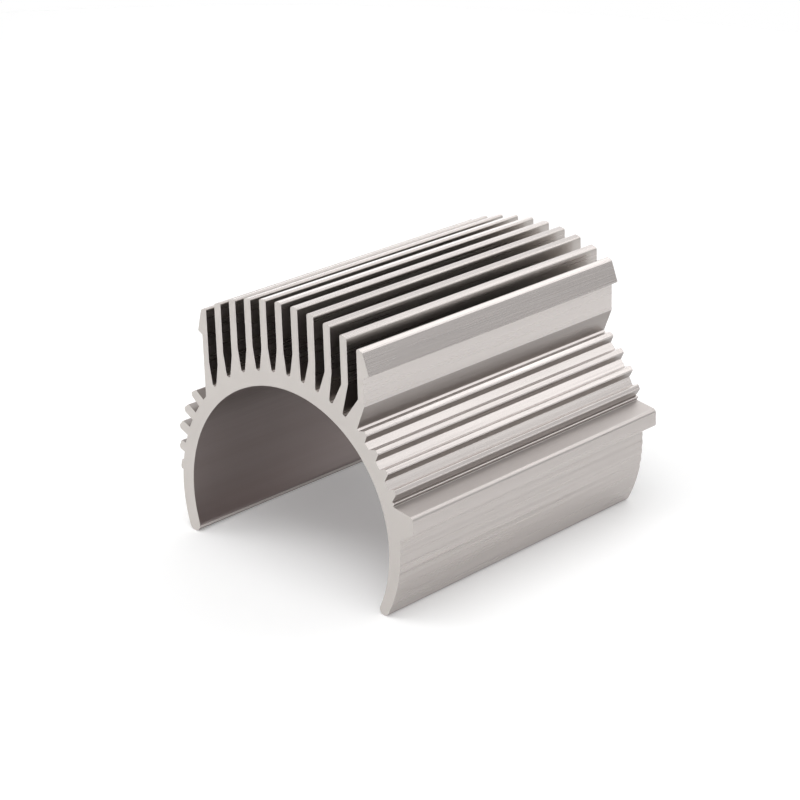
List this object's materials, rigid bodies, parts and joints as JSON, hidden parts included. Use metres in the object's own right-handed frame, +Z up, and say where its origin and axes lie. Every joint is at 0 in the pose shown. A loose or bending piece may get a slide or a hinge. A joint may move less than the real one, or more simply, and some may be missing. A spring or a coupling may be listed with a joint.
{
  "type": "motor heat sink",
  "caption": "Clip-on finned heat sink cut from extruded aluminium profile, with a part-round saddle that grips a cylindrical motor can.",
  "frame": {"origin": "on the axis of the motor seat, at half the length of the profile", "axes": "+Y along the seat's axis and the profile, +Z up along the middle fin, +X towards the flank with the ledge"},
  "size_m": [0.0423, 0.05, 0.0384],
  "materials": {
    "extruded_aluminium": "satin extruded sides with fine lengthwise die lines, plain sawn ends"
  },
  "bodies": {
    "root": {"heat_sink": "extruded_aluminium"}
  },
  "joints": []
}
